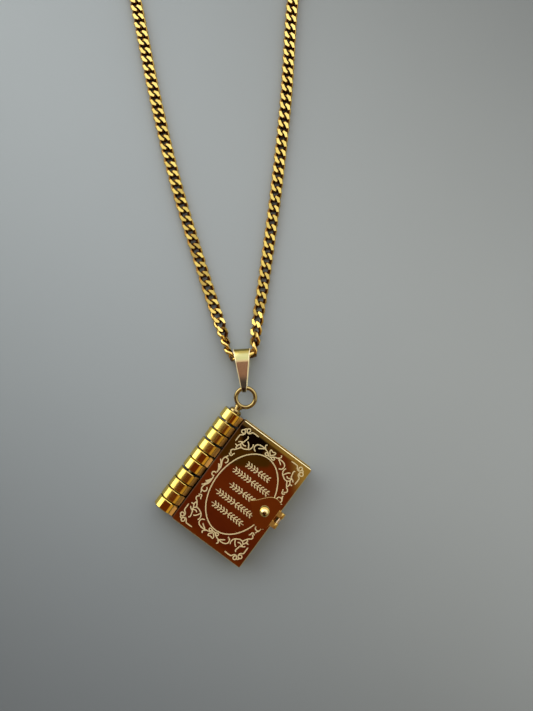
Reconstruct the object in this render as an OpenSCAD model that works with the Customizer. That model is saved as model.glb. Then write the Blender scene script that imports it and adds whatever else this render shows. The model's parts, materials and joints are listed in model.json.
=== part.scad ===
// Book locket on a curb chain, lying flat. Millimetres, +Z up, the surface under it is Z = 0.
// The book has two covers and three inner leaves on one hinge pin. The origin is under the middle
// of the whole necklace, +Y runs from the locket towards the neck.

/* [Covers] */
// Width of a cover, from the spine side to the fore-edge
cover_w = 17.55; // [15:0.05:20]
// Height of a cover along the spine
cover_h = 25.4; // [24:0.1:26]
// Thickness of a cover
cover_t = 0.8; // [0.6:0.05:0.9]
// Corner radius of the covers
cover_r = 0.5; // [0.3:0.05:1]
// Chamfer along the edges of the covers
cover_chamfer = 0.12; // [0.05:0.01:0.2]
// Thickness of the closed book
book_t = 4.8; // [4.8:0.05:5]

/* [Inner leaves] */
// Thickness of an inner leaf
leaf_t = 0.6; // [0.4:0.05:0.65]
// How far an inner leaf stays back from the edges of the covers
leaf_inset = 0.6; // [0.3:0.1:1.5]

/* [Spine] */
// Length of the spine
spine_len = 25.25; // [25:0.05:26]
// Radius of the spine's barrel
spine_r = 2.38; // [2:0.02:2.38]
// From the spine's axis to the near edge of the covers
spine_gap = 2.55; // [2.5:0.01:2.8]
// Chamfer at both ends of a knuckle
knuckle_chamfer = 0.14; // [0.05:0.01:0.2]
// Radius of the hinge pin
pin_r = 0.6; // [0.4:0.05:0.8]
// Running clearance between the pin and the knuckles
pin_play = 0.05; // [0.02:0.01:0.1]

/* [Hanger ring] */
// Mean radius of the ring at the top of the spine
ring_r = 2.04; // [1.8:0.02:2.4]
// Diameter of the ring's wire
ring_wire = 0.89; // [0.7:0.01:1]
// Radius of the cap under the ring
cap_r = 1.4; // [1:0.05:1.8]
// Thickness of the cap
cap_t = 0.75; // [0.5:0.05:1]
// Radius of the neck between cap and ring
neck_r = 0.72; // [0.5:0.02:0.9]
// Radius of the collar that carries the ring
collar_r = 0.95; // [0.8:0.05:1]
// From the top of the spine to the ring's centre
ring_rise = 3.85; // [3.7:0.01:4]

/* [Bail] */
// Thickness of the bail's band
bail_t = 0.32; // [0.25:0.01:0.4]
// Inner radius of the fold round the chain
bail_top_r = 1.45; // [1.43:0.01:1.5]
// Inner radius of the fold round the ring
bail_ring_r = 0.68; // [0.66:0.01:0.72]
// Distance between the centres of the two folds
bail_len = 6.51; // [6.48:0.01:6.54]
// Width of the bail at the chain
bail_top_w = 3.73; // [3:0.01:4.5]
// Width of the bail just above the ring
bail_low_w = 1.5; // [1.2:0.05:1.8]
// Width of the bail at its tip
bail_tip_w = 0.8; // [0.6:0.05:1]

/* [Clasp] */
// Length of the pointed lock plate
plate_len = 6.35; // [5:0.05:7]
// Widest part of the lock plate
plate_w = 7.1; // [5:0.1:8]
// Thickness of the lock plate
plate_t = 0.35; // [0.25:0.05:0.5]
// Radius of the ball knob
ball_r = 1.06; // [0.8:0.01:1.3]
// From the spine's axis to the ball knob
ball_reach = 17.2; // [16:0.05:18]
// Radius of the ears that carry the clasp
ear_r = 0.5; // [0.4:0.02:0.55]
// Width of an ear along the fore-edge
ear_w = 1.2; // [1:0.05:1.5]
// Space between the two ears
ear_space = 1.3; // [1.2:0.05:1.5]
// Thickness of the clasp's flap
flap_t = 0.35; // [0.3:0.01:0.4]
// Width of the clasp's flap below the ears
flap_w = 2.4; // [1.6:0.1:3]

/* [Chain] */
// Width of the flat curb chain
chain_w = 2.6; // [2.2:0.1:2.6]
// Thickness of the chain
chain_t = 1.0; // [0.8:0.05:1]
// Length of the barrel that closes the chain
barrel_len = 9; // [7:0.5:10]
// Radius of that barrel
barrel_r = 1.6; // [1.4:0.1:2]

/* [Hidden] */
$fn = 64;
eps = 0.01;

// Where the pieces lie, before the whole is moved so that the origin is under its middle
lay_shift = [11.95, -92.25, 0];
book_at = [-14.234, -22.123, 0];
book_turn = -36.6;

// Heights inside the closed book
axis_z = book_t / 2;
front_z = book_t - cover_t;
leaf_space = (book_t - 2 * cover_t - 3 * leaf_t) / 4;
fore_edge = spine_gap + cover_w;
function leaf_z(n) = cover_t + leaf_space + (n - 1) * (leaf_t + leaf_space);

// The gap below each knuckle, from the top of the spine down, worn unevenly as on the real hinge
knuckle_gaps = [0.42, 0.24, 0.4, 0.24, 0.16, 0.44, 0.18, 0.18, 0.18];
knuckle_count = 10;
function sum_to(v, n) = n == 0 ? 0 : v[n - 1] + sum_to(v, n - 1);
knuckle_len = (spine_len - sum_to(knuckle_gaps, 9)) / knuckle_count;
spine_top = spine_len / 2;
// Lower end of knuckle n, counted from 1 at the top
function knuckle_y(n) = spine_top - n * knuckle_len - sum_to(knuckle_gaps, n - 1);

// Two knuckles for each part of the book
back_knuckles = [1, 6];
page_knuckles = [[2, 7], [3, 8], [4, 9]];
front_knuckles = [5, 10];
// Where a web starts inside its knuckle, how far it reaches into its leaf, and how far it lies below
// a cover's outer face
web_root = 1.2;
web_into = 0.3;
web_sink = 0.3;

// The hinge of the clasp
clasp_axis = fore_edge + 0.67;
clasp_z = book_t - 0.08;
clasp_mid = 0.1;
clasp_pin_r = 0.17;
clasp_bore_r = 0.2;
flap_barrel_r = 0.34;
flap_face = fore_edge + 0.4;
flap_low = 0.35;
rivet_r = 0.4;
rivet_play = 0.03;
lift = 0.02;

// Chain route from the barrel down the left side, through the bail and up the right side.
// Each row is x, y, height of the middle of the chain, and roll about its own length.
flat = chain_t / 2 + 0.03;
fold = bail_top_r + bail_t;
chain_route = [
    [-19, 227, 1.1, 0], [-26, 224.5, 0.7, 0], [-33.5, 218, flat, 0], [-39.5, 208, flat, 0],
    [-43, 196, flat, 0], [-44.5, 182, flat, 0], [-44.3, 166, flat, 0], [-42.5, 148, flat, 0],
    [-39.7, 129, flat, 0], [-36.05, 111, flat, 0], [-32.1, 93.5, flat, 0], [-28.05, 76, flat, 0],
    [-23.9, 55.5, flat, 0], [-19.3, 36.5, flat, 0], [-13.4, 17.2, flat, 0], [-10.6, 8.6, 0.75, 15],
    [-9.2, 4.4, 1.18, 50], [-8.3, 1.75, 1.42, 80], [-7.6, 0.15, fold - 0.1, 90], [-6.6, -0.3, fold, 90],
    [-5.2, -0.25, fold, 90], [-4, -0.15, fold, 90], [-3.05, 0.3, fold - 0.1, 90], [-2.6, 1.5, 1.42, 80],
    [-2.3, 4, 1.18, 50], [-1.6, 9.5, 0.75, 15], [-0.4, 17.2, flat, 0], [2.2, 36.5, flat, 0],
    [4.2, 55.5, flat, 0], [5.6, 76, flat, 0], [8.2, 93.5, flat, 0], [12, 111, flat, 0],
    [15.7, 129, flat, 0], [18.8, 148, flat, 0], [20.4, 166, flat, 0], [20.6, 182, flat, 0],
    [19, 196, flat, 0], [15.5, 208, flat, 0], [9.5, 218, flat, 0], [2, 224.5, 0.7, 0], [-5, 227, 1.1, 0]];
route_steps = 2;
chain_sides = 8;
barrel_at = [-12, 227, 1.6];

module lay() { translate(lay_shift) children(); }
module in_book() { lay() translate(book_at) rotate([0, 0, book_turn]) children(); }

// Turns the drawing plane so that an outline across (x) and up (y) is drawn along the spine
module along_spine(from, len) {
    translate([0, from + len, 0]) rotate([90, 0, 0]) linear_extrude(len) children();
}

module rounded_plate(x, w, h, z, t, r) {
    translate([x, -h / 2, z]) linear_extrude(t) union() {
        translate([r, 0]) square([w - 2 * r, h]);
        translate([0, r]) square([w, h - 2 * r]);
        for (cx = [r, w - r], cy = [r, h - r]) translate([cx, cy]) circle(r);
    }
}

// A cover with chamfered edges: the rounded outline cut by the two chamfered cross-sections
module chamfered_plate(x, w, h, z, t, r, c) {
    intersection() {
        rounded_plate(x, w, h, z, t, r);
        along_spine(-h, 2 * h) translate([x, z]) chamfered_section(w, t, c);
        translate([x - w, 0, 0]) rotate([90, 0, 90]) linear_extrude(3 * w)
            translate([-h / 2, z]) chamfered_section(h, t, c);
    }
}

module chamfered_section(w, t, c) {
    polygon([[c, 0], [w - c, 0], [w, c], [w, t - c], [w - c, t], [c, t], [0, t - c], [0, c]]);
}

// One bored knuckle of the spine, n from 1 at the top
module knuckle(n) {
    bore = pin_r + pin_play;
    c = knuckle_chamfer;
    translate([0, knuckle_y(n), axis_z]) rotate([-90, 0, 0]) rotate_extrude() polygon([
        [bore, 0], [spine_r - c, 0], [spine_r, c], [spine_r, knuckle_len - c],
        [spine_r - c, knuckle_len], [bore, knuckle_len]]);
}

// The web that joins a knuckle to its leaf between two heights at the leaf's edge
module knuckle_web(n, z_low, z_high, root_low, root_high) {
    along_spine(knuckle_y(n) + knuckle_chamfer, knuckle_len - 2 * knuckle_chamfer) polygon([
        [web_root, root_low], [spine_gap + web_into, z_low],
        [spine_gap + web_into, z_high], [web_root, root_high]]);
}

module cover_knuckles(pair, z_face, side) {
    web_out = z_face - side * web_sink;
    web_in = z_face - side * cover_t;
    root = axis_z + side * 1.3;
    for (n = pair) {
        knuckle(n);
        knuckle_web(n, min(web_out, web_in), max(web_out, web_in), root - cover_t / 2, root + cover_t / 2);
    }
}

module page(n) {
    w = cover_w - leaf_inset;
    h = cover_h - 2 * leaf_inset;
    in_book() {
        rounded_plate(spine_gap, w, h, leaf_z(n), leaf_t, cover_r);
        for (k = page_knuckles[n - 1]) {
            knuckle(k);
            knuckle_web(k, leaf_z(n), leaf_z(n) + leaf_t, leaf_z(n), leaf_z(n) + leaf_t);
        }
    }
}

// Half of the lock plate's outline, from its tip to the fore-edge side, as two joined curves
function bezier(p, t) = let (s = 1 - t)
    s * s * s * p[0] + 3 * s * s * t * p[1] + 3 * s * t * t * p[2] + t * t * t * p[3];
plate_tip = fore_edge - 0.45 - plate_len;
half_w = plate_w / 2;
plate_curve_1 = [[0, 0], [1.7, 0.55], [2.5, half_w], [plate_len * 0.72, half_w]];
plate_curve_2 = [[plate_len * 0.72, half_w], [plate_len * 0.9, half_w], [plate_len, half_w * 0.8],
                 [plate_len, half_w * 0.55]];
plate_half = [for (t = [0:0.1:1]) bezier(plate_curve_1, t),
              for (t = [0.125:0.125:1]) bezier(plate_curve_2, t)];
plate_outline = concat(
    plate_half, [for (i = [len(plate_half) - 1:-1:1]) [plate_half[i][0], -plate_half[i][1]]]);

// Rings of the chain's outline, swept along a smooth curve through the route
function route_point(i) = chain_route[max(0, min(len(chain_route) - 1, i))];
function smooth(a, b, c, d, t) =
    0.5 * (2 * b + (c - a) * t + (2 * a - 5 * b + 4 * c - d) * t * t + (3 * b - a - 3 * c + d) * t * t * t);
function route_at(u) = let (i = min(floor(u), len(chain_route) - 2))
    smooth(route_point(i - 1), route_point(i), route_point(i + 1), route_point(i + 2), u - i);
route_end = len(chain_route) - 1;
route_rings = [for (k = [0:route_end * route_steps]) route_at(k / route_steps)];
function place_of(row) = [row[0], row[1], row[2]];
function heading(k) = let (a = place_of(route_rings[max(0, k - 1)]),
    b = place_of(route_rings[min(len(route_rings) - 1, k + 1)])) (b - a) / norm(b - a);
function ring_points(k) = let (
    along = heading(k),
    flat_side = [along[1], -along[0], 0] / norm([along[1], -along[0]]),
    flat_up = cross(flat_side, along),
    roll = route_rings[k][3],
    side = flat_side * cos(roll) + flat_up * sin(roll),
    up = flat_up * cos(roll) - flat_side * sin(roll),
    corner = 180 / chain_sides)
    [for (j = [0:chain_sides - 1]) place_of(route_rings[k])
        + side * cos(corner + j * 360 / chain_sides) * chain_w / 2 / cos(corner)
        + up * sin(corner + j * 360 / chain_sides) * chain_t / 2 / cos(corner)];

module chain() {
    last = len(route_rings) - 1;
    points = [for (k = [0:last]) each ring_points(k)];
    walls = [for (k = [0:last - 1], j = [0:chain_sides - 1]) let (m = (j + 1) % chain_sides)
        each [[k * chain_sides + j, (k + 1) * chain_sides + j, (k + 1) * chain_sides + m],
              [k * chain_sides + j, (k + 1) * chain_sides + m, k * chain_sides + m]]];
    first_end = [for (j = [0:chain_sides - 1]) j];
    last_end = [for (j = [chain_sides - 1:-1:0]) last * chain_sides + j];
    color("goldenrod") lay() polyhedron(points, concat(walls, [first_end], [last_end]));
}

// The barrel that closes the chain, with an end loop on each side
module chain_clasp() {
    loop_r = 0.95;
    loop_wire = 0.6;
    end_r = 0.8;
    taper = 0.8;
    half = barrel_len / 2;
    color("goldenrod") lay() translate(barrel_at) {
        rotate([0, 90, 0]) rotate_extrude() polygon([
            [0, -half], [end_r, -half], [barrel_r, taper - half],
            [barrel_r, half - taper], [end_r, half], [0, half]]);
        for (side = [-1, 1]) translate([side * (half + loop_r), 0, 0])
            rotate_extrude() translate([loop_r, 0]) circle(loop_wire / 2);
    }
}

// A band folded round the chain at one end and round the ring at the other
module bail() {
    top = [-5.17, -0.34, fold];
    turn = 3.6;
    narrow_at = 0.45 - bail_len;
    out_top = bail_top_r + bail_t;
    out_low = bail_ring_r + bail_t;
    climb = asin((axis_z - top[2]) / bail_len);
    color("khaki") lay() translate(top) rotate([0, 0, turn]) rotate([-climb, 0, 0]) intersection() {
        rotate([90, 0, 90]) translate([0, 0, -bail_top_w]) linear_extrude(2 * bail_top_w) difference() {
            fold_outline(out_top, out_low);
            fold_outline(bail_top_r, bail_ring_r);
        }
        translate([0, 0, -3]) linear_extrude(6) polygon([
            [-bail_top_w / 2, out_top + eps], [bail_top_w / 2, out_top + eps],
            [bail_low_w / 2, narrow_at], [bail_tip_w / 2, -bail_len - out_low - eps],
            [-bail_tip_w / 2, -bail_len - out_low - eps], [-bail_low_w / 2, narrow_at]]);
    }
}

// Two circles and the straight sides that touch both
module fold_outline(r_top, r_low) {
    lean = asin((r_top - r_low) / bail_len);
    circle(r_top);
    translate([-bail_len, 0]) circle(r_low);
    polygon([
        [-r_top * sin(lean), r_top * cos(lean)], [-bail_len - r_low * sin(lean), r_low * cos(lean)],
        [-bail_len - r_low * sin(lean), -r_low * cos(lean)], [-r_top * sin(lean), -r_top * cos(lean)]]);
}

// The pin through the spine, with its head below and its cap, neck and ring above, soldered in one
module hinge_pin() {
    play = 0.05;
    bottom = spine_top - spine_len - play;
    head_r = 1;
    head_t = 0.3;
    cap_low = spine_top + play;
    cap_high = spine_top + cap_t;
    cap_slope = 0.35;
    collar_t = 0.55;
    collar_y = spine_top + ring_rise - ring_r - ring_wire / 2 - collar_t / 2;
    color("gold") in_book() {
        translate([0, 0, axis_z]) rotate([-90, 0, 0]) rotate_extrude() polygon([
            [0, bottom - head_t], [head_r - 0.2, bottom - head_t], [head_r, bottom - 0.1], [head_r, bottom],
            [pin_r, bottom], [pin_r, cap_low], [cap_r, cap_low], [cap_r, cap_high - cap_slope],
            [cap_r - cap_slope, cap_high], [neck_r, cap_high], [neck_r, collar_y],
            [collar_r, collar_y + 0.1], [collar_r, collar_y + collar_t - 0.15],
            [collar_r - 0.2, collar_y + collar_t], [0, collar_y + collar_t]]);
        translate([0, spine_top + ring_rise, axis_z])
            rotate_extrude() translate([ring_r, 0]) circle(ring_wire / 2);
    }
}

module back_cover() {
    color("gold") in_book() {
        chamfered_plate(spine_gap, cover_w, cover_h, 0, cover_t, cover_r, cover_chamfer);
        cover_knuckles(back_knuckles, 0, -1);
    }
}

module page_1() { color("gold") page(1); }
module page_2() { color("gold") page(2); }
module page_3() { color("gold") page(3); }

module front_cover() {
    color("sienna") in_book() {
        difference() {
            chamfered_plate(spine_gap, cover_w, cover_h, front_z, cover_t, cover_r, cover_chamfer);
            translate([ball_reach, 0, front_z - 1]) cylinder(h = cover_t + 2, r = rivet_r + rivet_play);
        }
        cover_knuckles(front_knuckles, book_t, 1);
    }
}

// Pointed plate on the front cover, with a bored ear at each side of the clasp
module lock_plate() {
    plate_z = book_t + lift;
    color("sienna") in_book() difference() {
        union() {
            translate([plate_tip, 0, plate_z]) linear_extrude(plate_t) polygon(plate_outline);
            for (side = [-1, 1]) translate([0, clasp_mid + side * (ear_space + ear_w) / 2, 0]) ear(plate_z);
        }
        translate([ball_reach, 0, plate_z - 1]) cylinder(h = plate_t + 2, r = rivet_r + rivet_play);
        translate([clasp_axis, clasp_mid - 5, clasp_z]) rotate([-90, 0, 0])
            cylinder(h = 10, r = clasp_bore_r);
    }
}

module ear(plate_z) {
    arm_x = fore_edge - 0.6;
    translate([arm_x, -ear_w / 2, plate_z]) cube([clasp_axis - arm_x, ear_w, plate_t]);
    translate([clasp_axis, -ear_w / 2, clasp_z]) rotate([-90, 0, 0]) cylinder(h = ear_w, r = ear_r);
}

// Ball on a rivet through the lock plate and the cover
module ball_knob() {
    seat = book_t + lift + plate_t + lift;
    centre = seat + ball_r * 0.8;
    color("gold") in_book() translate([ball_reach, 0, 0]) {
        intersection() {
            translate([0, 0, centre]) sphere(ball_r);
            translate([-ball_r, -ball_r, seat]) cube([2 * ball_r, 2 * ball_r, 3 * ball_r]);
        }
        translate([0, 0, front_z]) cylinder(h = centre - front_z, r = rivet_r);
    }
}

module clasp_pin() {
    pin_len = ear_space + 2 * ear_w;
    color("gold") in_book() translate([clasp_axis, clasp_mid - pin_len / 2, clasp_z])
        rotate([-90, 0, 0]) cylinder(h = pin_len, r = clasp_pin_r);
}

// Flap that hangs down over the fore-edge, with a small bead that snaps past the back cover
module clasp_flap() {
    barrel_w = ear_space - 0.16;
    shoulder = clasp_z - ear_r - 0.15;
    tab_r = 0.5;
    bead_r = 0.33;
    bead_z = 0.75;
    color("gold") in_book() translate([0, clasp_mid, 0]) difference() {
        union() {
            translate([clasp_axis, -barrel_w / 2, clasp_z]) rotate([-90, 0, 0])
                cylinder(h = barrel_w, r = flap_barrel_r);
            translate([flap_face, -barrel_w / 2, shoulder - 0.3])
                cube([flap_t, barrel_w, clasp_z - shoulder + 0.3]);
            translate([flap_face, 0, 0]) rotate([90, 0, 90]) linear_extrude(flap_t) union() {
                translate([-flap_w / 2, flap_low + tab_r]) square([flap_w, shoulder - flap_low - tab_r]);
                translate([tab_r - flap_w / 2, flap_low]) square([flap_w - 2 * tab_r, 2 * tab_r]);
                for (side = [-1, 1]) translate([side * (flap_w / 2 - tab_r), flap_low + tab_r]) circle(tab_r);
            }
            intersection() {
                translate([flap_face + 0.12, 0, bead_z]) sphere(bead_r);
                translate([flap_face - 1, -1, flap_low]) cube([1 + flap_t, 2, 1]);
            }
        }
        translate([clasp_axis, -barrel_w, clasp_z]) rotate([-90, 0, 0])
            cylinder(h = 2 * barrel_w, r = clasp_bore_r);
    }
}

chain();
chain_clasp();
bail();
hinge_pin();
back_cover();
page_1();
page_2();
page_3();
front_cover();
lock_plate();
ball_knob();
clasp_pin();
clasp_flap();
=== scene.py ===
# Book locket on a flat curb chain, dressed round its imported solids
import json
import math
import random

import bmesh
import bpy
from bmesh.types import BMEdge, BMVert
from mathutils import Matrix, Vector


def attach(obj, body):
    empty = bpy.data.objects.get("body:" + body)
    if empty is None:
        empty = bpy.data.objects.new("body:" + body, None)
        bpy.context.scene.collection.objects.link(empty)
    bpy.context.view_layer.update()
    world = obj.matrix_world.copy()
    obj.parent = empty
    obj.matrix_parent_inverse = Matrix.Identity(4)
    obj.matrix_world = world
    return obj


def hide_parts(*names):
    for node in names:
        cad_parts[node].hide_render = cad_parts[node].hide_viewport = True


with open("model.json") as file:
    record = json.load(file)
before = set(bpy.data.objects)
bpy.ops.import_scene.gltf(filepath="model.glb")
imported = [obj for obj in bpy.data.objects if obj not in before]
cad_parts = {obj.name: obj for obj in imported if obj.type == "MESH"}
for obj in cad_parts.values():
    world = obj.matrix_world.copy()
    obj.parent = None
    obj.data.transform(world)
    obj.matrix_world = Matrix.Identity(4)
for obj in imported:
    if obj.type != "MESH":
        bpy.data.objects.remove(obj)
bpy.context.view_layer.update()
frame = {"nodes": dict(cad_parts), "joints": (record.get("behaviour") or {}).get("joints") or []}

bl_info = {
    "name": "Book Locket Necklace",
    "version": (1, 0, 0),
    "blender": (4, 5, 0),
    "location": "3D Viewport > Sidebar > Locket",
    "description": "Linked chain, engraved cover and gold finishes of a book locket necklace",
    "category": "Add Mesh",
}

MM = 0.001
UP = Vector((0, 0, 1))

# The book's own directions: across from the spine to the fore-edge, along the spine, and up
spine_joint = next(j for j in frame["joints"] if j["name"] == "cover_open")
ALONG = -Vector(spine_joint["axis"]).normalized()
ACROSS = ALONG.cross(UP)
SPINE = Vector(spine_joint["pos_m"])

# The covers' top, and how far from the spine's axis the covers and the lock plate's polish reach
COVER_TOP = 4.8 * MM
COVER_NEAR = 2.55 * MM
COVER_FAR = 20.1 * MM
COVER_MIDDLE = Vector((SPINE.x, SPINE.y, 0)) + ACROSS * ((COVER_NEAR + COVER_FAR) / 2)
LOCK_FAR = COVER_FAR - 0.55 * MM

# Where the middle of the photo lies, from which the route and the bail are measured
LAY_SHIFT = Vector((11.95, -92.25, 0)) * MM

# The chain's route from barrel to barrel: x, y and height of its middle in mm, and its roll in degrees
FLAT = 0.53
FOLD = 1.77
CHAIN_ROUTE = (
    (-19, 227, 1.1, 0), (-26, 224.5, 0.7, 0), (-33.5, 218, FLAT, 0), (-39.5, 208, FLAT, 0),
    (-43, 196, FLAT, 0), (-44.5, 182, FLAT, 0), (-44.3, 166, FLAT, 0), (-42.5, 148, FLAT, 0),
    (-39.7, 129, FLAT, 0), (-36.05, 111, FLAT, 0), (-32.1, 93.5, FLAT, 0), (-28.05, 76, FLAT, 0),
    (-23.9, 55.5, FLAT, 0), (-19.3, 36.5, FLAT, 0), (-13.4, 17.2, FLAT, 0), (-10.6, 8.6, 0.75, 15),
    (-9.2, 4.4, 1.18, 50), (-8.3, 1.75, 1.42, 80), (-7.6, 0.15, FOLD - 0.1, 90), (-6.6, -0.3, FOLD, 90),
    (-5.2, -0.25, FOLD, 90), (-4, -0.15, FOLD, 90), (-3.05, 0.3, FOLD - 0.1, 90), (-2.6, 1.5, 1.42, 80),
    (-2.3, 4, 1.18, 50), (-1.6, 9.5, 0.75, 15), (-0.4, 17.2, FLAT, 0), (2.2, 36.5, FLAT, 0),
    (4.2, 55.5, FLAT, 0), (5.6, 76, FLAT, 0), (8.2, 93.5, FLAT, 0), (12, 111, FLAT, 0),
    (15.7, 129, FLAT, 0), (18.8, 148, FLAT, 0), (20.4, 166, FLAT, 0), (20.6, 182, FLAT, 0),
    (19, 196, FLAT, 0), (15.5, 208, FLAT, 0), (9.5, 218, FLAT, 0), (2, 224.5, 0.7, 0), (-5, 227, 1.1, 0))
ROUTE_STEPS = 40

# The first link's distance from the end of the route
LEAD_IN = 1.8 * MM

# The route's row inside the bail, and how far to both sides of it the links are drawn out fully
FOLD_ROW = 20
DRAWN_FULLY = 10 * MM

# The bail: the top of its fold, its turn, its half width there and how much it narrows downwards
BAIL_TOP = Vector((-5.17, -0.34, 0)) * MM + LAY_SHIFT
BAIL_TURN = math.radians(3.6)
BAIL_HALF = 1.613 * MM
BAIL_TAPER = 0.1424

# A link's wire: pieces round its loop, sides, and how boxy its rise and dip are
LINK_SEGMENTS = 12
WIRE_SIDES = 6
LINK_RISE_POWER = 0.7

# Marks on a link's cut flats and outer sides, and the ramps by which its finish tells them apart; the
# unmarked wire inside a link takes painted shade
FLAT_MARK = 1.0
FLANK_MARK = 0.5
FLAT_RAMP = (0.6, 0.9)
FLANK_RAMP = (0.2, 0.4)

# How far out from the wire's middle a link's outer side begins, as a share of the wire
FLANK_START = 0.1

# The barrel's middle, half its length with its loops, and the plain rings between it and the links
BARREL_AT = Vector((-12, 227, 1.6)) * MM + LAY_SHIFT
BARREL_HALF = 6.4 * MM
END_RING_WIRE = 0.4 * MM
END_RING_R = 1.2 * MM
END_RING_OUT = BARREL_HALF + 0.6 * MM
END_RING_DROP = 0.18 * MM
END_RING_SEGMENTS = 16

# Engraved strokes of the cover's upper left quarter, as x, y from the middle of the cover, in mm
CORNER_STROKES = (
    ((-4.21, 11.65), (-5.6, 11.68), (-5.89, 11.5), (-6.12, 11.16), (-6.44, 10.95), (-6.81, 11.07),
     (-7.04, 11.42), (-6.96, 11.79), (-6.67, 11.91), (-6.38, 11.68), (-6.41, 11.3), (-6.61, 11.01)),
    ((-7.1, 11.53), (-7.42, 11.42), (-7.56, 11.13)),
    ((-7.68, 8.15), (-7.68, 9.54), (-7.53, 9.83), (-7.22, 10.06), (-7.01, 10.32), (-7.01, 10.67),
     (-7.19, 10.98), (-7.51, 11.09), (-7.82, 10.9), (-7.88, 10.58), (-7.62, 10.32), (-7.3, 10.38),
     (-7.07, 10.58)),
)
BRANCH_STROKES = (
    ((-6.15, 10.42), (-5.91, 10.23), (-5.91, 9.83), (-6.06, 9.36), (-6.12, 9.02), (-6.44, 8.78),
     (-6.81, 8.61), (-7.1, 8.32)),
    ((-6.46, 8.81), (-6.15, 8.55), (-5.68, 8.39), (-5.28, 8.61)),
    ((-6.44, 8.76), (-6.41, 8.29), (-6.67, 7.8), (-6.78, 7.4), (-6.72, 7.05), (-6.52, 6.9)),
    ((-6.41, 8.29), (-6.2, 7.97), (-5.86, 7.77)),
    ((-4.24, 9.77), (-4.07, 9.36), (-4.09, 8.9), (-4.32, 8.41), (-4.81, 8.06), (-5.34, 7.8),
     (-5.8, 7.77), (-6.06, 7.57), (-6.26, 7.22), (-6.52, 6.88), (-6.72, 6.61), (-7.07, 6.41),
     (-7.27, 6.05), (-7.1, 5.69), (-6.78, 5.49)),
    ((-6.26, 5.94), (-6.44, 5.66), (-6.5, 5.28), (-6.75, 5.08), (-7.22, 5.36)),
    ((-5.54, 9.55), (-5.16, 9.31), (-4.84, 8.93), (-4.61, 8.5), (-4.5, 8.29)),
    ((-7.37, 7.6), (-7.04, 7.62), (-6.75, 7.45)),
)
VINE_STROKES = (
    ((-7.1, 4.84), (-7.16, 4.5), (-7.39, 4.13), (-7.51, 3.75), (-7.47, 3.29), (-7.27, 2.82),
     (-7.01, 2.36), (-6.89, 1.84), (-6.9, 1.32), (-6.93, 0.5)),
    ((-7.36, 4.13), (-7.01, 4.24), (-6.61, 4.13), (-6.41, 3.81), (-6.49, 3.4), (-6.75, 3.16)),
    ((-7.97, 3.29), (-7.65, 3.01), (-7.36, 2.59), (-7.04, 2.19)),
    ((-7.7, 2.3), (-7.39, 1.87), (-7.13, 1.49), (-6.94, 1.09)),
    ((-7.6, 2.25), (-7.25, 2.05), (-6.98, 1.7)),
)
CREST_STROKES = (
    ((-1.05, 10.32), (-1.57, 10.45), (-2.09, 10.51), (-2.67, 10.53), (-3.25, 10.38), (-3.63, 10.06),
     (-3.74, 9.65), (-3.66, 9.25), (-3.4, 8.99), (-2.99, 8.84)),
    ((-1.78, 11.39), (-2.01, 11.16), (-1.92, 10.81), (-1.6, 10.55)),
    ((-1.86, 10.38), (-2.38, 10.06), (-2.91, 9.68)),
    ((-1.05, 10.32), (-0.71, 10.14), (-0.42, 9.88), (-0.07, 9.73)),
    ((-0.5, 9.66), (0, 9.66)),
    ((0, 9.98), (-0.42, 10.38), (-0.62, 10.75), (-0.59, 11.02), (-0.3, 11.01), (0, 10.84)),
)

# Ovals: half their width and height in mm, and their steps; the side ring is open by an angle to both sides
OVAL_HALF = (6.35, 9.27)
OVAL_STEPS = 96
CREST_LOOP_AT = (-0.81, 9.79)
CREST_LOOP_HALF = (0.34, 0.27)
SIDE_RING_AT = (-7.22, 0)
SIDE_RING_HALF = (0.43, 0.43)
SIDE_RING_OPENING = 45
LOOP_STEPS = 16

# Twigs inside the oval: height above the middle and half length, in mm
TWIG_ROWS = ((5.7, 3.0), (3.25, 4.6), (0.3, 3.4), (-2.4, 5.0), (-5.0, 4.1))

# A twig's leaves: their spacing, the first one's root, and belly and tip outward and upward from the root
LEAF_GAP = 0.72
FIRST_LEAF = 0.25
LEAF_BELLY = (0.18, 0.42)
LEAF_TIP = (0.5, 0.62)

# The engraved lines lie at slightly different heights, so that none shares a face where they cross
HEIGHT_STEP = 0.0002 * MM
HEIGHT_STEPS = 20

# How far the engraved lines reach into the cover
SUNK = 0.02 * MM

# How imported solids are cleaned, and which of their edges are rounded
WELD = 0.001 * MM
SAME_PLANE = math.radians(1)
ROUNDED_EDGE = math.radians(40)
LEVEL_NORMAL = 0.999


class ChainSettings(bpy.types.PropertyGroup):
    pitch: bpy.props.FloatProperty(
        name="Pitch", description="Distance from one link to the next where the chain is slack",
        default=1.85 * MM, unit="LENGTH")
    drawn: bpy.props.FloatProperty(
        name="Drawn out", description="How much further apart the links lie beside the bail",
        default=0.29 * MM, unit="LENGTH")
    reach: bpy.props.FloatProperty(
        name="Reach", description="How far from the bail the links are drawn out",
        default=62 * MM, unit="LENGTH")
    width: bpy.props.FloatProperty(
        name="Width", description="Width of the chain", default=2.7 * MM, unit="LENGTH")
    wire: bpy.props.FloatProperty(
        name="Wire", description="Thickness of a link's wire", default=0.85 * MM, unit="LENGTH")
    length: bpy.props.FloatProperty(
        name="Length", description="Length of a link", default=3.7 * MM, unit="LENGTH")
    twist: bpy.props.FloatProperty(
        name="Twist", description="How far each quarter of a link rises or dips",
        default=0.46 * MM, unit="LENGTH")
    cut: bpy.props.FloatProperty(
        name="Cut", description="Height of the polished flats above the middle of the chain",
        default=0.61 * MM, unit="LENGTH")
    sway: bpy.props.FloatProperty(
        name="Sway", description="How far single links lie out of line", default=math.radians(4),
        unit="ROTATION")
    seed: bpy.props.IntProperty(name="Seed", description="Start of the links' random sway", default=7)


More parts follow.
